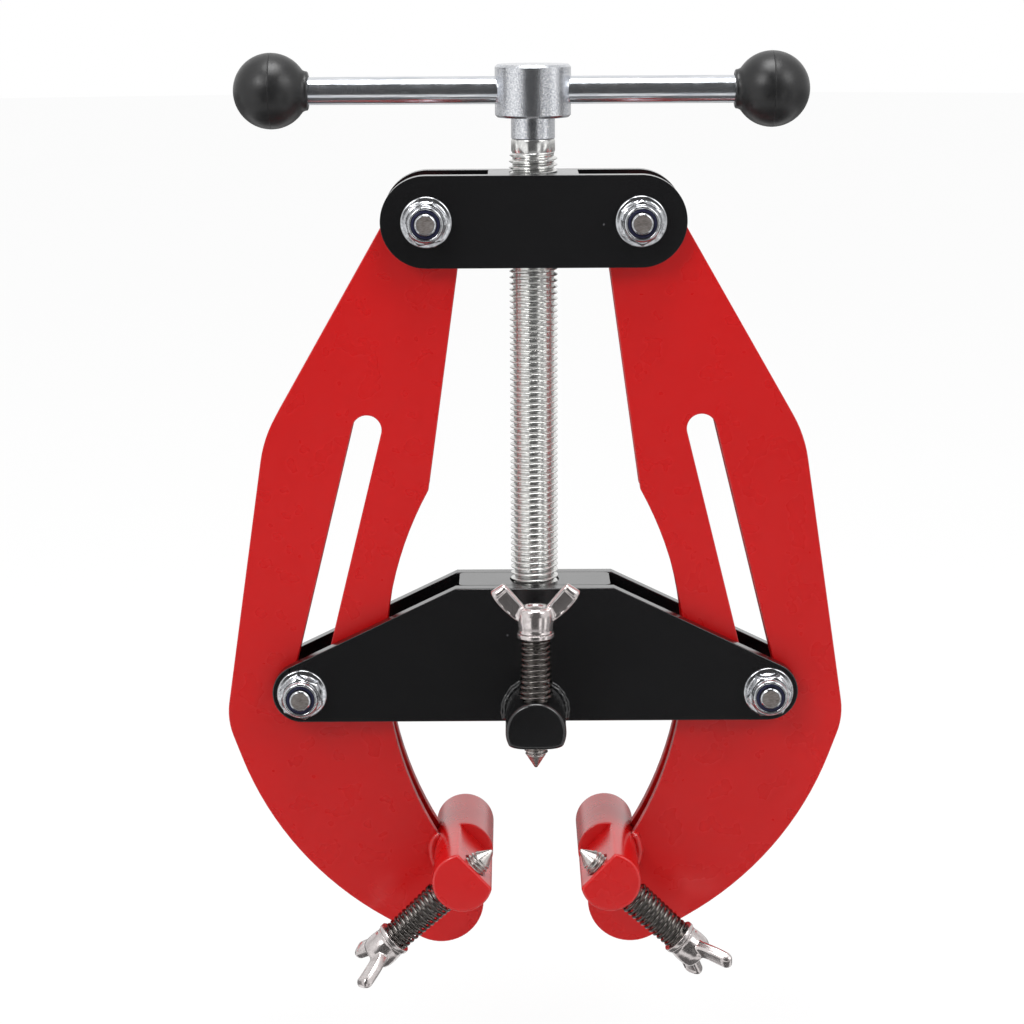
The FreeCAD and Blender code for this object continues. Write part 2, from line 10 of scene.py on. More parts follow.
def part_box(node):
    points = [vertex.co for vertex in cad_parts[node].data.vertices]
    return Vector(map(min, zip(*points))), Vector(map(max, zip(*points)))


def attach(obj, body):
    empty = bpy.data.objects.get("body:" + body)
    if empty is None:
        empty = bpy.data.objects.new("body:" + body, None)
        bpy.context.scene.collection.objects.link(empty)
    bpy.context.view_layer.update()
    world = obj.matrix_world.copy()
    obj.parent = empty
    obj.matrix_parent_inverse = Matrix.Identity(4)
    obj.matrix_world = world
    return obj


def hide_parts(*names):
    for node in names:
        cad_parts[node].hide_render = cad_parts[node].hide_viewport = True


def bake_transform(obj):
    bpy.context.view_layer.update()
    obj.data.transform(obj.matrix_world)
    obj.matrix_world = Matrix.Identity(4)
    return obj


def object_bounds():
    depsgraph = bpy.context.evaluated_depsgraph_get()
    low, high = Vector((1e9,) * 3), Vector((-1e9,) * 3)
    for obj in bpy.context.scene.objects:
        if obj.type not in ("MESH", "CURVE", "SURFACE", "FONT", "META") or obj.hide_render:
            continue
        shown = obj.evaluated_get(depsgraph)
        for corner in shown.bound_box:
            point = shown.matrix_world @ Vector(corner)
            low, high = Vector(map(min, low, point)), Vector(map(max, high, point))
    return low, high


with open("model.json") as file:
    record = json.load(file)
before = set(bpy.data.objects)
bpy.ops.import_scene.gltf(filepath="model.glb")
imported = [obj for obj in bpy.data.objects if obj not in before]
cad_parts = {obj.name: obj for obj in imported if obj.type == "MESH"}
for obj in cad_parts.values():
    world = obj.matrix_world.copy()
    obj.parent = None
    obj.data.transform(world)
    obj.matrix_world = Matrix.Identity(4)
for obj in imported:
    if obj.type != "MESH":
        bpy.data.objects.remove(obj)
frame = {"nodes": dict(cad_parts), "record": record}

# A pipe fit-up clamp. The CAD frame's plates, blocks and hub get rounded edges. The contact bars, welds,
# screws, nuts, bolts, sliding bar, knobs, springs, washers and wing heads are built here in full detail.
# The retaining pins and the arms' spacers keep their CAD meshes. Lengths are millimetres unless a comment
# says otherwise, and MM turns them into Blender's metres.

CAD_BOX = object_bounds()
RECORD = frame["record"]
BODY_OF = {node: body for body, nodes in RECORD["behaviour"]["bodies"].items() for node in nodes}
SLOT_OF = {part["node"]: part["material_slot"] for part in RECORD["subparts"]}
JOINTS = {joint["name"]: joint for joint in RECORD["behaviour"]["joints"]}
MM = 0.001
FORWARD = Vector((0, -1, 0))      # the side with the wing screws


def low(node):
    """The lower corner of a CAD node's box."""
    return Vector(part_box(node)[0]) / MM


def high(node):
    """The upper corner of a CAD node's box."""
    return Vector(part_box(node)[1]) / MM


# ---- Materials ----

class Nodes:
    """A short way to add and link shader nodes."""

    def __init__(self, tree):
        self.tree = tree

    def add(self, kind, inputs=None, **settings):
        made = self.tree.nodes.new(kind)
        for key, value in settings.items():
            setattr(made, key, value)
        for key, value in (inputs or {}).items():
            if isinstance(value, bpy.types.NodeSocket):
                self.tree.links.new(value, made.inputs[key])
            else:
                made.inputs[key].default_value = value
        return made

    def noise(self, scale, detail=2.0, vector=None, roughness=0.5):
        made = self.add("ShaderNodeTexNoise", {"Scale": scale, "Detail": detail, "Roughness": roughness,
                                               "Vector": vector or self.place})
        return made.outputs["Fac"]

    def ramp(self, value, low_in, high_in, low_out, high_out):
        made = self.add("ShaderNodeMapRange", {"Value": value, "From Min": low_in, "From Max": high_in,
                                               "To Min": low_out, "To Max": high_out})
        return made.outputs["Result"]

    def blend(self, factor, a, b):
        a, b = (v if isinstance(v, bpy.types.NodeSocket) else (*v, 1) for v in (a, b))
        return self.add("ShaderNodeMix", {"Factor": factor, 6: a, 7: b}, data_type="RGBA").outputs[2]

    def maths(self, operation, a, b=0.0):
        return self.add("ShaderNodeMath", {0: a, 1: b}, operation=operation).outputs[0]


def new_look(name, **constants):
    """A principled material with constant sockets set, and object coordinates ready as nodes.place."""
    material = bpy.data.materials.new(name)
    material.use_nodes = True
    nodes = Nodes(material.node_tree)
    nodes.shader = material.node_tree.nodes["Principled BSDF"]
    nodes.place = nodes.add("ShaderNodeTexCoord").outputs["Object"]
    for key, value in constants.items():
        nodes.shader.inputs[key.replace("_", " ")].default_value = value
    return material, nodes


def stretched(nodes, x, y, z):
    """Object coordinates scaled by axis, for drawn and turned grain."""
    made = nodes.add("ShaderNodeMapping", {"Vector": nodes.place, "Scale": (x, y, z)})
    return made.outputs["Vector"]


def set_input(nodes, socket, value):
    """Links a node's output to a socket of the shader."""
    nodes.tree.links.new(value, nodes.shader.inputs[socket])


def bump(nodes, height, strength, distance):
    made = nodes.add("ShaderNodeBump", {"Height": height, "Strength": strength, "Distance": distance})
    set_input(nodes, "Normal", made.outputs["Normal"])


def specks(nodes, scale, size, share):
    """1 inside small scattered dots, else 0."""
    cells = nodes.add("ShaderNodeTexVoronoi", {"Vector": nodes.place, "Scale": scale})
    inside = nodes.maths("LESS_THAN", cells.outputs["Distance"], size)
    red = nodes.add("ShaderNodeSeparateColor", {"Color": cells.outputs["Color"]}).outputs[0]
    return nodes.maths("MULTIPLY", inside, nodes.maths("LESS_THAN", red, share))


def paint(name, dark, bright, speck, roughness, coat, share):
    """Powder coat: orange peel, soft tone drift, and dust nibs in a share of the cells."""
    material, nodes = new_look(name, Specular_IOR_Level=0.5, Coat_Weight=coat, Coat_Roughness=0.2)
    drift = nodes.noise(14.0, 1.0)
    colour = nodes.blend(nodes.ramp(drift, 0.3, 0.7, 0.0, 1.0), dark, bright)
    dots = specks(nodes, 95.0, 0.03, share)
    set_input(nodes, "Base Color", nodes.blend(dots, colour, speck))
    peel = nodes.noise(420.0, 1.0)
    sheen = nodes.ramp(nodes.noise(120.0, 2.0), 0.3, 0.7, roughness - 0.015, roughness + 0.015)
    set_input(nodes, "Roughness", sheen)
    bump(nodes, peel, 0.025, 0.0001)
    return material


def plated(name, dark, bright, roughness, spread, grain, depth, metal):
    """Plated metal: crystalline mottling in colour and roughness, a very fine grain, and a little haze."""
    material, nodes = new_look(name, Metallic=metal)
    mottle = nodes.noise(grain, 4.0, roughness=0.65)
    colour = nodes.blend(nodes.ramp(mottle, 0.36, 0.64, 0.0, 1.0), dark, bright)
    set_input(nodes, "Base Color", colour)
    patches = nodes.maths("ADD", mottle, nodes.noise(grain * 0.18, 2.0))
    set_input(nodes, "Roughness", nodes.ramp(patches, 0.7, 1.3, roughness + spread, roughness - spread))
    bump(nodes, mottle, depth, 0.00006)
    return material


def drawn_bar():
    """Bright plated bar with faint lengthwise drawing lines."""
    material, nodes = new_look("drawn_zinc", Metallic=0.96)
    lines = nodes.noise(1.0, 3.0, stretched(nodes, 110, 2200, 2200))
    cloud = nodes.noise(260.0, 3.0)
    colour = nodes.blend(nodes.ramp(lines, 0.3, 0.7, 0.0, 1.0), (0.50, 0.53, 0.58), (0.84, 0.85, 0.87))
    set_input(nodes, "Base Color", colour)
    both = nodes.maths("ADD", lines, cloud)
    set_input(nodes, "Roughness", nodes.ramp(both, 0.7, 1.3, 0.26, 0.1))
    bump(nodes, both, 0.5, 0.00003)
    return material


def turned_face():
    """The sawn and turned end of a bolt, dull and slightly brown."""
    material, nodes = new_look("bolt_end", Metallic=0.85)
    grain = nodes.noise(1.0, 4.0, stretched(nodes, 900, 900, 4200))
    cloud = nodes.noise(500.0, 2.0)
    colour = nodes.blend(nodes.ramp(grain, 0.3, 0.7, 0.0, 1.0), (0.2, 0.175, 0.165), (0.42, 0.38, 0.36))
    pale = nodes.ramp(cloud, 0.4, 0.7, 0.0, 0.4)
    set_input(nodes, "Base Color", nodes.blend(pale, colour, (0.5, 0.47, 0.46)))
    set_input(nodes, "Roughness", nodes.ramp(grain, 0.3, 0.7, 0.36, 0.52))
    bump(nodes, grain, 0.25, 0.00005)
    return material


def moulded(name, dark, bright, roughness):
    """Moulded plastic with a faint flow tone and a very fine grain."""
    material, nodes = new_look(name, Specular_IOR_Level=0.45)
    flow = nodes.noise(90.0, 3.0)
    set_input(nodes, "Base Color", nodes.blend(nodes.ramp(flow, 0.3, 0.7, 0.0, 1.0), dark, bright))
    fine = nodes.noise(1900.0, 2.0)
    both = nodes.maths("ADD", nodes.noise(420.0, 2.0), fine)
    set_input(nodes, "Roughness", nodes.ramp(both, 0.7, 1.3, roughness - 0.05, roughness + 0.06))
    bump(nodes, fine, 0.1, 0.00005)
    return material


LOOKS = {
    "red_paint": paint("red_powder_coat", (0.485, 0.0012, 0.0016), (0.51, 0.0025, 0.003), (0.60, 0.05, 0.05),
                       roughness=0.28, coat=0.4, share=0.10),
    "black_paint": paint("black_powder_coat", (0.0048, 0.0048, 0.0053), (0.0065, 0.0065, 0.0072),
                         (0.08, 0.08, 0.085), roughness=0.25, coat=0.6, share=0.22),
    "zinc_plated": plated("bright_zinc", (0.48, 0.50, 0.55), (0.88, 0.89, 0.91),
                          roughness=0.18, spread=0.07, grain=2300.0, depth=0.8, metal=0.96),
    "nut_zinc": plated("nut_zinc", (0.40, 0.41, 0.43), (0.60, 0.61, 0.63),
                       roughness=0.14, spread=0.05, grain=1100.0, depth=0.4, metal=0.97),
    "nickel_plated": plated("bright_nickel", (0.56, 0.515, 0.51), (0.70, 0.65, 0.64),
                            roughness=0.2, spread=0.05, grain=700.0, depth=0.2, metal=0.93),
    "stud_nickel": plated("ground_nickel", (0.45, 0.425, 0.41), (0.58, 0.55, 0.53),
                          roughness=0.29, spread=0.05, grain=900.0, depth=0.2, metal=0.92),
    "spring_steel": plated("dark_spring_wire", (0.06, 0.055, 0.052), (0.17, 0.158, 0.148),
                           roughness=0.13, spread=0.04, grain=600.0, depth=0.12, metal=0.98),
    "rolled_thread": plated("rolled_thread_zinc", (0.66, 0.66, 0.65), (0.86, 0.86, 0.84),
                            roughness=0.2, spread=0.04, grain=900.0, depth=0.15, metal=0.92),
    "black_plastic": moulded("black_phenolic", (0.0085, 0.0085, 0.009), (0.013, 0.013, 0.0135), 0.36),
    "nylon_insert": moulded("blue_nylon", (0.006, 0.007, 0.032), (0.012, 0.013, 0.052), 0.42),
    "drawn_bar": drawn_bar(),
    "bolt_end": turned_face(),
}
for node_name, node in frame["nodes"].items():
    for material_slot in node.material_slots:
        material_slot.material = LOOKS[SLOT_OF[node_name]]


# ---- Mesh helpers ----

def skin(rows):
    """Quads between closed rings of points, each ring to the next."""
    rows = np.asarray(rows, float)
    count, width = rows.shape[:2]
    faces = []
    for i in range(count - 1):
        for j in range(width):
            k = (j + 1) % width
            faces.append((i * width + j, i * width + k, (i + 1) * width + k, (i + 1) * width + j))
    return rows.reshape(-1, 3), faces


def capped(rows):
    """A skin with a face over the first ring and the last."""
    points, faces = skin(rows)
    width = len(rows[0])
    last = (len(rows) - 1) * width
    faces.append(tuple(range(width)))
    faces.append(tuple(last + i for i in reversed(range(width))))
    return points, faces


def softened(points, radius, steps=4):
    """The same 2-D line with each inner corner rounded."""
    out = [points[0]]
    for before, here, after in zip(points, points[1:], points[2:]):
        a, h, b = Vector(before), Vector(here), Vector(after)
        to_a, to_b = a - h, b - h
        cut = min(radius, 0.45 * to_a.length, 0.45 * to_b.length)
        start, end = h + to_a.normalized() * cut, h + to_b.normalized() * cut
        for i in range(steps + 1):
            t = i / steps
            out.append(tuple(start * (1 - t) ** 2 + h * 2 * t * (1 - t) + end * t * t))
    out.append(points[-1])
    return out


def lathe(profile, segments=96):
    """A surface of revolution about Z from (radius, z) points."""
    turns = np.linspace(0, 2 * math.pi, segments, endpoint=False)
    rows = [[(r * math.cos(a), r * math.sin(a), z) for a in turns] for r, z in profile]
    return skin(rows)


def tube(path, across, radius, sides):
    """A round tube along points; across is how its section is turned, and radius may vary along it."""
    path = np.asarray(path, float)
    ahead = np.gradient(path, axis=0)
    ahead /= np.linalg.norm(ahead, axis=1)[:, None]
    out = np.asarray(across, float)
    out = out - (out * ahead).sum(1)[:, None] * ahead
    out /= np.linalg.norm(out, axis=1)[:, None]
    side = np.cross(ahead, out)
    radius = np.broadcast_to(np.asarray(radius, float), (len(path),))
    angles = np.linspace(0, 2 * math.pi, sides, endpoint=False)
    rows = [p + r * (np.cos(angles)[:, None] * o + np.sin(angles)[:, None] * s)
            for p, r, o, s in zip(path, radius, out, side)]
    return capped(rows)


FADE_TURNS = 0.8                  # how much of a turn a thread takes to reach its full height


def thread(major, minor, pitch, start, end, steps):
    """One closed ridge of a right-hand 60 degree thread between two heights, faded in and out."""
    section = [(-0.15, -0.43), (0.0, -0.375), (0.93, -0.09), (1.0, -0.045), (1.0, 0.045), (0.93, 0.09),
               (0.0, 0.375), (-0.15, 0.43)]
    turns = (end - start) / pitch
    count = int(turns * steps)
    rows = []
    for i in range(count + 1):
        a = 2 * math.pi * i / steps
        fade = min(1.0, i / (FADE_TURNS * steps), (count - i) / (FADE_TURNS * steps))
        z = start + pitch * i / steps
        row = []
        for rise, along in section:
            r = minor + (major - minor) * (rise * fade if rise > 0 else rise)
            row.append((r * math.cos(a), r * math.sin(a), z + along * pitch))
        rows.append(row)
    return capped(rows)


def aimed(origin, axis, spin=0.0):
    """Matrix that takes local +Z to axis at origin, after a turn about local Z."""
    turn = Vector((0, 0, 1)).rotation_difference(Vector(axis)).to_matrix().to_4x4()
    return Matrix.Translation(Vector(origin)) @ turn @ Matrix.Rotation(spin, 4, "Z")


def closed(parts, unit, gap):
    """(points, faces, matrix) parts as one bmesh, with points within gap of each other joined."""
    bm = bmesh.new()
    for part in parts:
        points, faces, matrix = part[:3]
        made = [bm.verts.new(matrix @ Vector(p) * unit) for p in points]
        for face in faces:
            bm.faces.new([made[i] for i in face]).material_index = part[3] if len(part) > 3 else 0
    bmesh.ops.remove_doubles(bm, verts=bm.verts, dist=gap)
    bmesh.ops.dissolve_degenerate(bm, edges=bm.edges, dist=gap)
    loose = [v for v in bm.verts if not v.link_faces]
    bmesh.ops.delete(bm, geom=loose, context="VERTS")
    bmesh.ops.recalc_face_normals(bm, faces=bm.faces)
    return bm


def blank(parts):
    """A working object of parts in millimetres, for modifiers to change."""
    mesh = bpy.data.meshes.new("blank")
    bm = closed(parts, 1.0, 1e-5)
    bm.to_mesh(mesh)
    bm.free()
    made = bpy.data.objects.new("blank", mesh)
    bpy.context.scene.collection.objects.link(made)
    return made


def modified(first, *others):
    """The mesh of a blank with its modifiers applied, as bmesh. The blanks are removed."""
    bpy.context.view_layer.update()
    mesh = bpy.data.meshes.new_from_object(first.evaluated_get(bpy.context.evaluated_depsgraph_get()))
    for used in (first, *others):
        bpy.data.objects.remove(used)
    bm = bmesh.new()
    bm.from_mesh(mesh)
    return bm


def build(name, parts, body, look, replaced=(), crease=32.0, second_look=None):
    """One object from parts in millimetres. A part with a fourth item of 1 gets the second look."""
    return place(name, closed(parts, MM, 2e-7), body, look, replaced, crease, second_look)


def place(name, bm, body, look, replaced=(), crease=32.0, second_look=None):
    """An object from a bmesh in metres, with its look and body, and the CAD nodes it replaces hidden."""
    mesh = bpy.data.meshes.new(name)
    bm.to_mesh(mesh)
    bm.free()
    mesh.materials.append(LOOKS[look])
    if second_look:
        mesh.materials.append(LOOKS[second_look])
    mesh.shade_smooth()
    mesh.set_sharp_from_angle(angle=math.radians(crease))
    piece = bpy.data.objects.new(name, mesh)
    bpy.context.scene.collection.objects.link(piece)
    if body:
        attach(piece, body)
    if replaced:
        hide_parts(*replaced)
    return piece


def cleaned(node):
    """The CAD node's mesh with its flat areas merged, as bmesh."""
    bm = bmesh.new()
    bm.from_mesh(frame["nodes"][node].data)
    bmesh.ops.remove_doubles(bm, verts=bm.verts, dist=1e-6)
    bmesh.ops.dissolve_limit(bm, angle_limit=math.radians(0.3), verts=bm.verts, edges=bm.edges)
    return bm


SHARPER_THAN = math.radians(31)   # only these edges are rounded


def rounded(node, width, segments=3):
    """A copy of a CAD node with its sharp edges rounded."""
    piece = place(node + "_finished", cleaned(node), BODY_OF[node], SLOT_OF[node], (node,), crease=180)
    edge = piece.modifiers.new("edges", "BEVEL")
    edge.width = width * MM
    edge.segments = segments
    edge.limit_method = "ANGLE"
    edge.angle_limit = SHARPER_THAN
    edge.use_clamp_overlap = True
    even = piece.modifiers.new("normals", "WEIGHTED_NORMAL")
    even.mode = "FACE_AREA"
    even.weight = 60


# ---- Plates, blocks and round bars ----

for side in ("left", "right"):
    for layer in ("front", "back"):
        rounded(f"{side}_arm_{layer}_plate", 0.35)
for layer in ("front", "back"):
    rounded(f"crossbar_{layer}_plate", 0.4)
    rounded(f"link_{layer}_plate", 0.4)
rounded("crossbar_block", 0.35)
rounded("threaded_block", 0.35)
rounded("handle_hub", 0.55, 4)


HOLE_RADIUS = 4.2
REAR_ROUNDING = 0.8
STEP_EDGE = ((0.5, 0.0), (0.2, 0.08), (0.05, 0.25), (0.0, 0.55))    # (depth, distance past the flat)


def bar_middle(node):
    """Where a bar's axis crosses the XZ plane."""
    middle = (low(node) + high(node)) * 0.5
    return middle.x, middle.z


def near_min(a, b, ease):
    """The lesser of two lengths, blended where they are close."""
    overlap = max(ease - abs(a - b), 0.0) / ease
    return min(a, b) - overlap * overlap * ease / 4


def bar_rings(node, inward, corner, rim):
    """Rings of a bar that is milled flat at its front, and the flat's distance from the bar's axis."""
    across = Vector((-inward.z, 0, inward.x))
    x, z = bar_middle(node)
    front, rear, radius = low(node).y, high(node).y, (high(node).x - low(node).x) / 2
    reach = [((v.co / MM - Vector((x, 0, z))).dot(inward), v.co.y / MM)
             for v in frame["nodes"][node].data.vertices]
    depth = max(r for r, y in reach if y < front + 1)
    step = min(y for r, y in reach if r > depth + 0.5)

    def ring(y, inset, milled, lip=0.0):
        row = []
        for a in np.linspace(-math.pi, math.pi, 192, endpoint=False):
            full = cut = radius - inset
            if math.cos(a) > 0.3:
                cut = near_min(full, (depth - inset) / math.cos(a), corner)
            r = cut if milled else full
            if lip:
                r = max(cut, radius - lip * min(1.0, (radius - cut) * 2))
            row.append(Vector((x, y, z)) + (inward * math.cos(a) + across * math.sin(a)) * r)
        return row

    rings = [ring(front + rim * (1 - math.cos(a)), rim * (1 - math.sin(a)), True)
             for a in np.radians(np.linspace(0, 90, 8))]
    rings += [ring(y, 0.0, True) for y in np.linspace(front + rim + 1, step, 12)]
    rings += [ring(step + rise, 0.0, False, lip) for lip, rise in STEP_EDGE]
    rings += [ring(y, 0.0, False) for y in np.linspace(step + 2, rear - 2 * REAR_ROUNDING, 8)]
    rings += [ring(rear - REAR_ROUNDING * (1 - math.sin(a)), REAR_ROUNDING * (1 - math.cos(a)), False)
              for a in np.radians(np.linspace(0, 90, 6))]
    return rings, depth


def contact_bar(node, side, corner, rim):
    """A milled bar, drilled through its flat for the wing screw. corner eases the flat, rim the front."""
    turn = JOINTS[side + "_jack_turn"]
    inward = Vector(turn["axis"])
    rings, depth = bar_rings(node, inward, corner, rim)
    bar = blank([(*capped(rings), Matrix())])
    hole = [(0.0, -16), (4.9, -16), (4.9, -depth - 0.15), (HOLE_RADIUS, -depth + 0.5), (HOLE_RADIUS, 16),
            (0.0, 16)]
    drill = blank([(*lathe(hole, 64), aimed(Vector(turn["pos_m"]) / MM, -inward))])
    drilled = bar.modifiers.new("drilled", "BOOLEAN")
    drilled.object = drill
    drilled.solver = "EXACT"
    bm = modified(bar, drill)
    for v in bm.verts:
        v.co *= MM
    bmesh.ops.remove_doubles(bm, verts=bm.verts, dist=1e-7)
    for face in bm.faces:
        face.material_index = 0
    return place(node + "_milled", bm, BODY_OF[node], SLOT_OF[node], (node,), crease=35)


contact_bar("left_jaw_bar", "left", 0.9, 0.95)
contact_bar("right_jaw_bar", "right", 0.9, 0.95)
contact_bar("centre_lug", "centre", 3.6, 1.3)


# ---- Weld beads ----

def bead(x, z, face, ring, width, start, end, seed, rough=0.03):
    """A weld bead round a bar, where it meets the plate's front face. Degrees run from +X towards +Z."""
    count = int(abs(end - start) * 1.4)
    angles = np.radians(np.linspace(start, end, count))
    path, across, radius = [], [], []
    for i, a in enumerate(angles):
        drift = noise.noise(Vector((seed, i * 0.045, 0.0)))
        ripple = math.sin(i * 0.3 + 4 * drift)
        fade = min(1.0, 0.35 + i / 14, 0.35 + (count - 1 - i) / 14)
        r = ring + 0.22 * drift
        path.append((x + r * math.cos(a), face + 0.15 * drift, z + r * math.sin(a)))
        across.append((math.cos(a), 0, math.sin(a)))
        radius.append(width * fade * (1 + rough * ripple + 0.15 * drift))
    return (*tube(path, across, radius, 16), Matrix())


lug_x, lug_z = bar_middle("centre_lug")
crossbar_face = low("crossbar_front_plate").y
build("centre_lug_bead", [bead(lug_x, lug_z, crossbar_face - 0.1, 10.25, 0.95, -19, 199, 3.1, 0.1),
                          bead(lug_x, lug_z, crossbar_face + 0.1, 11.1, 0.7, -17, 197, 7.7, 0.14)],
      "crossbar", "black_paint", ("centre_lug_weld",))
jaw_x, jaw_z = bar_middle("right_jaw_bar")
arm_face = low("right_arm_front_plate").y
build("right_jaw_bead", [bead(jaw_x, jaw_z, arm_face, 10.7, 1.55, -138, 36, 1.7)],
      "right_arm", "red_paint", ("right_jaw_weld",))
build("left_jaw_bead", [bead(-jaw_x, jaw_z, arm_face, 10.7, 1.55, 318, 144, 5.2)],
      "left_arm", "red_paint", ("left_jaw_weld",))


# ---- Flange bolts, lock nuts and nylon rings ----

def hex_radius(angle, half_flats):
    """How far a hexagon's side is from its middle, in one direction."""
    return half_flats / math.cos((angle % (math.pi / 3)) - math.pi / 6)


def hex_body(half_flats, bottom, top, chamfer_radius, profile_in, segments=144):
    """A hexagonal prism whose top corners are cut by a 30 degree cone, going on inwards along profile_in."""
    angles = np.linspace(0, 2 * math.pi, segments, endpoint=False)
    rows = []
    for level in range(3):
        row = []
        for a in angles:
            r = hex_radius(a, half_flats)
            shoulder = top - (r - chamfer_radius) * math.tan(math.radians(30))
            # level 0 is the foot, level 1 just under the chamfer's edge, and level 2 just inside it
            z = (bottom, shoulder - 0.12, shoulder)[level]
            r -= (0, 0, 0.1)[level]
            row.append((r * math.cos(a), r * math.sin(a), z))
        rows.append(row)
    for r, z in [(chamfer_radius, top)] + profile_in:
        rows.append([(r * math.cos(a), r * math.sin(a), z) for a in angles])
    return skin(rows)


HALF_FLATS = 6.5
NUT_SKIRT = softened([(8.2, 0.0), (8.35, 0.2), (8.35, 0.75), (8.05, 1.0), (7.0, 1.3), (6.5, 1.75),
                      (6.3, 2.6)], 0.25)
NUT_COLLAR = softened([(6.1, 6.4), (6.0, 6.5), (5.98, 7.3), (5.6, 7.9), (5.2, 8.1), (4.9, 8.0), (4.72, 7.7),
                       (4.7, 7.0), (3.6, 7.0)], 0.25)
NYLON_RING = softened([(4.68, 7.05), (4.66, 7.6), (4.3, 7.78), (3.8, 7.7), (3.64, 7.05), (4.68, 7.05)], 0.2)


def lock_nut(matrix):
    """Flange lock nut: dished skirt, hexagon, and a round collar over the nylon ring."""
    return [(*lathe(NUT_SKIRT, 144), matrix), (*hex_body(HALF_FLATS, 1.2, 6.35, 6.4, NUT_COLLAR), matrix)]


def bolt_shank(matrix, length):
    """The bolt's shank, and its end out of the nut: bevelled rim and a slightly dished end face."""
    end = softened([(3.95, -length), (3.95, 6.5), (3.6, 7.0), (3.58, 8.5), (3.5, 8.8), (3.0, 9.18),
                    (2.9, 9.2)], 0.12)
    face = [(2.9, 9.2), (2.2, 9.12), (1.2, 9.08), (0.0, 9.07)]
    return [(*lathe([(0.0, -length)] + end, 64), matrix, 0), (*lathe(face, 64), matrix, 1)]


def bolt_head(matrix):
    """Flange bolt head on the back: skirt, hexagon, and a dished top."""
    skirt = softened([(8.25, 0.0), (8.35, 0.3), (8.25, 0.9), (7.0, 1.5), (6.2, 2.2), (6.0, 2.5)], 0.4)
    dish = [(4.7, 6.4), (4.3, 6.1), (2.0, 6.05), (0.0, 6.05)]
    return [(*lathe(skirt, 144), matrix, 0), (*hex_body(HALF_FLATS, 1.2, 6.4, 6.05, dish), matrix, 0)]


def fasteners(body, spins):
    """Both bolts, nuts and rings of the link or the crossbar, placed by the CAD nuts' box."""
    nuts_low, nuts_high = low(body + "_nuts"), high(body + "_nuts")
    flange = (nuts_high.z - nuts_low.z) / 2
    z = (nuts_high.z + nuts_low.z) / 2
    face = nuts_high.y
    back = high(body + "_back_plate").y
    nuts, rings, bolts = [], [], []
    for x, spin in zip((nuts_low.x + flange, nuts_high.x - flange), spins):
        front = aimed((x, face, z), FORWARD, math.radians(spin))
        nuts += lock_nut(front)
        rings.append((*lathe(NYLON_RING, 96), front))
        bolts += bolt_shank(front, back - face)
        bolts += bolt_head(aimed((x, back, z), -FORWARD, math.radians(17 + spin)))
    build(body + "_lock_nuts", nuts, body, "nut_zinc", (body + "_nuts",), crease=28)
    build(body + "_nylon_rings", rings, body, "nylon_insert", (body + "_nut_inserts",))
    build(body + "_flange_bolts", bolts, body, "nut_zinc", (body + "_bolts",),
          second_look="bolt_end")


fasteners("link", (12, 31))
fasteners("crossbar", (41, 5))


# ---- Main screw ----

def main_screw():
    """Core of the root diameter with a helical ridge; plain shoulder above, grooved journal below."""
    foot, crossbar_top, hub_low = low("main_screw").z, high("crossbar_block").z, low("handle_hub").z
    journal_top, journal, groove = crossbar_top - 8.1, 6.75, 4.85
    thread_top, root, crest, pitch = hub_low - 4.0, 6.77, 7.95, 2.0
    outline = softened([(0.0, foot), (6.2, foot), (journal, foot + 0.6), (journal, foot + 4.8),
                        (groove, foot + 4.9), (groove, foot + 9.1), (journal, foot + 9.2),
                        (journal, journal_top), (6.72, journal_top + 1.2)], 0.15, 3)
    core = [(6.76, journal_top + 1.2), (6.76, thread_top - 0.9)]
    shoulder = softened([(7.2, thread_top), (7.2, hub_low - 0.45), (6.9, hub_low - 0.12),
                         (5.0, hub_low - 0.1), (5.0, hub_low + 2.0), (0.0, hub_low + 2.0)], 0.25, 3)
    ridge = thread(crest, root, pitch, journal_top + 1.6, thread_top - 0.2, 54)
    return [(*lathe(outline + core + shoulder, 96), Matrix()), (*ridge, Matrix())]


build("main_screw_threaded", main_screw(), "screw", "rolled_thread", ("main_screw",),
      crease=40)


# ---- Sliding T-bar and knobs ----

bar_low, bar_high = low("tommy_bar"), high("tommy_bar")
BAR_Z = (bar_low.z + bar_high.z) / 2
BAR_R = (bar_high.z - bar_low.z) / 2


def t_bar():
    """The sliding bar, with a trace of unevenness along it."""
    length = bar_high.x - bar_low.x
    outline = softened([(0.0, 0.0), (BAR_R, 0.0), (BAR_R, length), (0.0, length)], 0.5)
    stations = np.linspace(2.0, length - 2.0, 60)
    middle = [(BAR_R - 0.012 * (1 + noise.noise(Vector((s * 0.09, 4.0, 0.0)))), s) for s in stations]
    half = len(outline) // 2
    return [(*lathe(outline[:half] + middle + outline[half:], 72), aimed((bar_low.x, 0, BAR_Z), (1, 0, 0)))]


build("t_bar", t_bar(), "handle_bar", "drawn_bar", ("tommy_bar",))


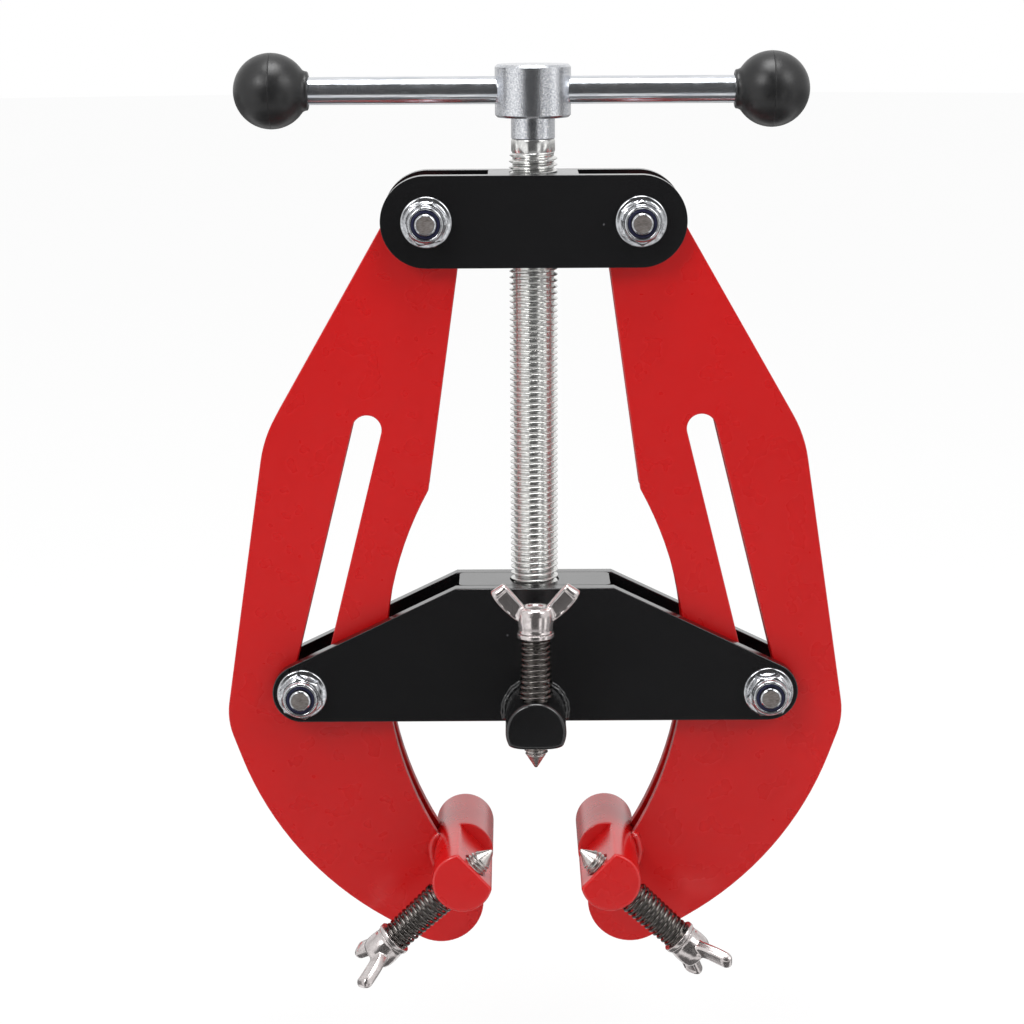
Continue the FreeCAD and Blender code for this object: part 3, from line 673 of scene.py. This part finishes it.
def knob(node, towards):
    """Ball knob: moulded ball, short collar with a rounded lip round the bar, and a fine parting line."""
    start, end = low(node), high(node)
    radius = (end.z - start.z) / 2
    reach = (end.x - start.x) - radius
    centre = start.x + (reach if towards < 0 else radius)
    profile = []
    heights = sorted([-radius * math.cos(math.radians(i * 2.5)) for i in range(72)]
                     + [0.03, -0.03, 0.09, -0.09, 0.15, -0.15, 0.24, -0.24])
    for z in heights:
        r = math.sqrt(max(0.0, radius * radius - z * z))
        groove = 0.09 * math.exp(-(z / 0.07) ** 2) - 0.035 * math.exp(-((abs(z) - 0.15) / 0.08) ** 2)
        profile.append((max(0.0, r - groove), z))
    neck = [(6.75, 10.35), (6.35, 11.2), (6.3, 11.9), (5.7, reach), (4.9, reach), (4.62, reach - 0.4),
            (4.6, reach - 4.0)]
    profile = [p for p in profile if p[1] < 9.9] + softened(neck, 0.35)
    return [(*lathe(profile, 128), aimed((centre, 0, BAR_Z), (towards, 0, 0)))]


build("left_ball_knob", knob("left_knob", 1), "handle_bar", "black_plastic", ("left_knob",), crease=60)
build("right_ball_knob", knob("right_knob", -1), "handle_bar", "black_plastic", ("right_knob",), crease=60)


# ---- Wing screws ----

SPRING_FOOT = 10.1                # outwards from a contact bar's axis
SPRING_HEAD = 31.0
STUD_MAJOR, STUD_MINOR, STUD_PITCH = 3.95, 3.26, 1.25
WASHER_THICKNESS = 1.5
POCKET_DEPTH = 0.28               # of a wing's half thickness
SQUARENESS = 0.62                 # 1 gives a wing an oval section, and less gives a squarer one


def stud_parts(matrix, spin):
    """Pointed stud with a helical thread."""
    tip, top = -13.7, 38.0
    outline = [(0.0, tip), (0.45, tip + 0.15), (3.25, tip + 4.6), (STUD_MINOR, 33.0), (3.7, 34.0),
               (3.7, top)]
    turned = matrix @ Matrix.Rotation(spin, 4, "Z")
    ridge = thread(STUD_MAJOR, STUD_MINOR, STUD_PITCH, tip + 4.65, 33.6, 40)
    return [(*lathe(softened(outline, 0.12), 64), turned), (*ridge, turned)]


def washer_parts(matrix):
    """The washer between the spring and the wing head."""
    bore, rim = 4.02, 6.1
    ring = softened([(bore, 0.0), (rim, 0.0), (rim, WASHER_THICKNESS), (bore, WASHER_THICKNESS),
                     (bore, 0.0)], 0.3)
    return [(*lathe([(r, z + SPRING_HEAD) for r, z in ring], 72), matrix)]


def spring_parts(matrix):
    """Round wire, its end turns closer together, and a little wider at the bar."""
    wire, turns, steps = 0.52, 11.6, 40
    end_turns, end_lift = 0.8, 0.45
    bottom, top = SPRING_FOOT + wire, SPRING_HEAD - wire - 0.05
    count = int(turns * steps)
    made = np.arange(count + 1) / steps
    lift = np.where((made < end_turns) | (made > turns - end_turns), end_lift, 1.0)
    climb = np.concatenate([[0.0], np.cumsum(lift[1:])])
    climb = climb / climb[-1] * (top - bottom) + bottom
    angles = made * 2 * math.pi
    coil = 5.2 - 0.65 * (climb - bottom) / (top - bottom)
    path = np.stack([coil * np.cos(angles), coil * np.sin(angles), climb], 1)
    across = np.stack([np.cos(angles), np.sin(angles), 0 * angles], 1)
    return [(*tube(path, across, wire, 12), matrix)]


def blade(side):
    """One wing, lofted from the hub to its rounded tip, with a shallow pocket inside a raised rim."""
    foot_in, foot_out = Vector((2.4, 39.9)), Vector((2.4, 34.3))
    tip_in, tip_out = Vector((10.2, 49.2)), Vector((15.0, 46.0))
    bow = Vector((10.8, 38.6))
    sides, shoulder = 56, 0.84    # the shoulder is where the rounded tip starts
    places = [shoulder * i / 24 for i in range(24)]
    places += [shoulder + (1 - shoulder) * math.sin(math.radians(i * 9)) for i in range(11)]
    rows = []
    for t in places:
        inner = foot_in.lerp(tip_in, t)
        outer = foot_out * (1 - t) ** 2 + bow * 2 * t * (1 - t) + tip_out * t * t
        middle, half = (inner + outer) / 2, (outer - inner) / 2
        end = max(0.0, (t - shoulder) / (1 - shoulder))
        close = math.sqrt(max(0.0, 1 - end * end))
        thick = (2.1 + 0.9 * math.exp(-t / 0.13)) * max(0.02, close)
        half = half * (0.74 + 0.26 * close)
        pocket = max(0.0, min(1.0, (t - 0.22) / 0.08, (0.86 - t) / 0.05))
        row = []
        for j in range(sides):
            a = 2 * math.pi * j / sides
            u, v = math.cos(a), math.sin(a)
            u = math.copysign(abs(u) ** SQUARENESS, u)
            v = math.copysign(abs(v) ** SQUARENESS, v)
            inside = max(0.0, min(1.0, (0.8 - abs(u)) / 0.12))
            p = middle + half * u
            row.append((side * p.x, thick * v * (1.0 - POCKET_DEPTH * pocket * inside), p.y))
        rows.append(row)
    return capped(rows)


def wing_head(name, matrix, body, replaced):
    """Hub and two blades, fused and smoothed like a casting."""
    base = SPRING_HEAD + WASHER_THICKNESS + 0.06
    hub = softened([(0.0, base), (5.75, base), (5.85, base + 0.3), (5.5, base + 0.9), (5.75, 35.0),
                    (5.85, 36.4), (5.8, 38.8), (5.35, 40.4), (4.5, 41.2), (3.5, 41.25), (2.9, 40.7),
                    (2.2, 40.35), (0.0, 40.2)], 0.3)
    casting = blank([(*shape, Matrix()) for shape in (lathe(hub, 72), blade(1), blade(-1))])
    fuse = casting.modifiers.new("fuse", "REMESH")
    fuse.mode = "VOXEL"
    fuse.voxel_size = 0.2
    ease = casting.modifiers.new("ease", "SMOOTH")
    ease.factor = 0.5
    ease.iterations = 7
    bm = modified(casting)
    for v in bm.verts:
        v.co = matrix @ v.co * MM
    return place(name, bm, body, "nickel_plated", replaced, crease=180)


for side, wing_turn, thread_turn in (("left", 82, 20), ("right", 53, 140), ("centre", 0, 70)):
    turn = JOINTS[side + "_jack_turn"]
    inward = Vector(turn["axis"])
    origin = Vector(turn["pos_m"]) / MM
    lean = math.atan2(-inward.x, -inward.z)
    outward = Matrix.Translation(origin) @ Matrix.Rotation(lean, 4, "Y")
    turned = outward @ Matrix.Rotation(math.radians(wing_turn), 4, "Z")
    seat, jack = side + "_jack_seat", side + "_jack"
    build(side + "_pointed_stud", stud_parts(outward, math.radians(thread_turn)), jack, "stud_nickel",
          (side + "_jack_stud",), crease=40)
    wing_head(side + "_wing_head", turned, jack, (side + "_jack_wings",))
    build(side + "_seat_washer", washer_parts(outward), seat, "nickel_plated", (side + "_jack_washer",))
    coil = build(side + "_coil_spring", spring_parts(outward), None, "spring_steel",
                 (side + "_jack_spring",))
    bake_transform(coil)


# ---- Floor, light and camera ----

scene = bpy.context.scene
FLOOR_Z = CAD_BOX[0][2] - 0.045   # metres, a little below the clamp


def stage_floor():
    """A wide pale disc, kept out of reflections."""
    shape = lathe([(r, FLOOR_Z / MM) for r in (0.0, 400.0, 1200.0, 3000.0, 7000.0)], 48)
    mesh = bpy.data.meshes.new("floor")
    bm = closed([(*shape, Matrix())], MM, 1e-5)
    bm.to_mesh(mesh)
    bm.free()
    material, nodes = new_look("pale_floor", Roughness=0.9, Specular_IOR_Level=0.1)
    cloud = nodes.ramp(nodes.noise(3.0), 0.3, 0.7, 0.0, 1.0)
    tone = nodes.blend(cloud, (0.9, 0.9, 0.9), (0.92, 0.92, 0.92))
    set_input(nodes, "Base Color", tone)
    seen = nodes.add("ShaderNodeLightPath").outputs["Is Camera Ray"]
    glow = nodes.add("ShaderNodeEmission", {"Color": (1, 1, 1, 1), "Strength": 1.0})
    mixed = nodes.add("ShaderNodeMixShader", {0: nodes.maths("MULTIPLY", seen, 0.9)})
    links, output = material.node_tree.links, material.node_tree.nodes["Material Output"]
    links.new(nodes.shader.outputs[0], mixed.inputs[1])
    links.new(glow.outputs[0], mixed.inputs[2])
    links.new(mixed.outputs[0], output.inputs["Surface"])
    mesh.materials.append(material)
    floor = bpy.data.objects.new("floor", mesh)
    floor.visible_glossy = False
    scene.collection.objects.link(floor)


stage_floor()


def strip(nodes, position, stops):
    """Brightness that changes linearly between (place from 0 to 1, value) stops."""
    made = nodes.add("ShaderNodeValToRGB", {"Fac": position})
    ramp = made.color_ramp
    while len(ramp.elements) < len(stops):
        ramp.elements.new(0.5)
    for element, (spot, value) in zip(ramp.elements, stops):
        element.position = spot
        element.color = (value, value, value, 1)
    return made.outputs["Color"]


def studio_world():
    """Bright tent with a dark opening and strip lights on the wing-screw side, and white to the camera."""
    world = bpy.data.worlds.new("studio")
    world.use_nodes = True
    nodes = Nodes(world.node_tree)
    background = world.node_tree.nodes["Background"]
    direction = nodes.add("ShaderNodeTexCoord").outputs["Generated"]
    parts = nodes.add("ShaderNodeSeparateXYZ", {"Vector": direction})
    around = nodes.maths("ARCTAN2", parts.outputs["X"], nodes.maths("MULTIPLY", parts.outputs["Y"], -1.0))
    around = nodes.ramp(around, -math.pi, math.pi, 0.0, 1.0)
    height = nodes.ramp(nodes.maths("ARCSINE", parts.outputs["Z"]), -math.pi / 2, math.pi / 2, 0.0, 1.0)

    def turn(degrees):
        """Place on the around scale: 0 faces the wing screws, and plus is towards +X."""
        return 0.5 + degrees / 360

    def rise(degrees):
        """Place on the height scale: 0 is the horizon."""
        return 0.5 + degrees / 180

    level = strip(nodes, around, [
        (turn(-180), 0.24), (turn(-108), 0.24), (turn(-104), 1.2), (turn(-96), 1.2), (turn(-90), 0.7),
        (turn(-60), 1.1), (turn(-33), 1.15), (turn(-26), 0.05), (turn(2), 0.05), (turn(22), 0.12),
        (turn(26), 1.35), (turn(37), 1.35), (turn(41), 0.28), (turn(58), 0.28), (turn(61), 1.3),
        (turn(74), 1.3), (turn(78), 0.36), (turn(112), 0.36), (turn(180), 0.24)])
    upper = strip(nodes, around, [
        (turn(-180), 0.95), (turn(-150), 0.95), (turn(-120), 0.7), (turn(-60), 1.0), (turn(-42), 0.9),
        (turn(-32), 0.05), (turn(30), 0.05), (turn(42), 0.8), (turn(60), 1.0), (turn(120), 0.7),
        (turn(150), 0.95), (turn(180), 0.95)])
    lower = strip(nodes, height, [(rise(-90), 0.1), (rise(-56), 0.1), (rise(-50), 0.95), (rise(-36), 0.95),
                                  (rise(-30), 0.1), (rise(0), 0.1)])
    crown = nodes.ramp(height, rise(60), rise(72), 0.0, 1.0)
    rising = nodes.ramp(height, rise(-7), rise(0), 0.0, 1.0)
    under = nodes.ramp(height, rise(-28), rise(-32), 0.0, 1.0)
    shade = nodes.blend(rising, level, upper)
    shade = nodes.blend(under, shade, lower)
    shade = nodes.blend(crown, shade, (1.0, 1.0, 1.0))
    seen = nodes.add("ShaderNodeLightPath").outputs["Is Camera Ray"]
    world.node_tree.links.new(nodes.blend(seen, shade, (1, 1, 1)), background.inputs["Color"])
    background.inputs["Strength"].default_value = 1.0
    scene.world = world


studio_world()


def soft_light(name, position, target, size, power):
    """A round area light aimed at target, in metres and watts."""
    data = bpy.data.lights.new(name, "AREA")
    data.shape = "DISK"
    data.size = size
    data.energy = power
    light = bpy.data.objects.new(name, data)
    scene.collection.objects.link(light)
    light.location = position
    light.rotation_euler = (Vector(target) - Vector(position)).to_track_quat("-Z", "Y").to_euler()


middle = (Vector(CAD_BOX[0]) + Vector(CAD_BOX[1])) / 2
soft_light("key", middle + Vector((-0.75, -0.95, 0.85)), middle, 0.6, 6.5)
soft_light("fill", middle + Vector((0.95, -0.75, 0.9)), middle, 0.8, 5.0)
soft_light("top", middle + Vector((0.0, -0.2, 1.2)), middle, 0.7, 10.0)

TILT = math.radians(12.23)        # the camera looks down by this much
ROLL = math.radians(0.3)
DISTANCE = 0.85                   # metres, from the point it looks at
AIM = Vector((-0.0075, 0.0, 0.0972))
FOCAL_LENGTH = 88.7               # millimetres, like the sensor
SENSOR = 36.0
ahead = Vector((0, math.cos(TILT), -math.sin(TILT)))
camera_data = bpy.data.cameras.new("camera")
camera_data.lens = FOCAL_LENGTH
camera_data.sensor_width = SENSOR
camera = bpy.data.objects.new("camera", camera_data)
scene.collection.objects.link(camera)
camera.matrix_world = (Matrix.Translation(AIM - ahead * DISTANCE)
                       @ Matrix.Rotation(math.radians(90) - TILT, 4, "X") @ Matrix.Rotation(-ROLL, 4, "Z"))
scene.camera = camera
scene.view_settings.view_transform = "Standard"
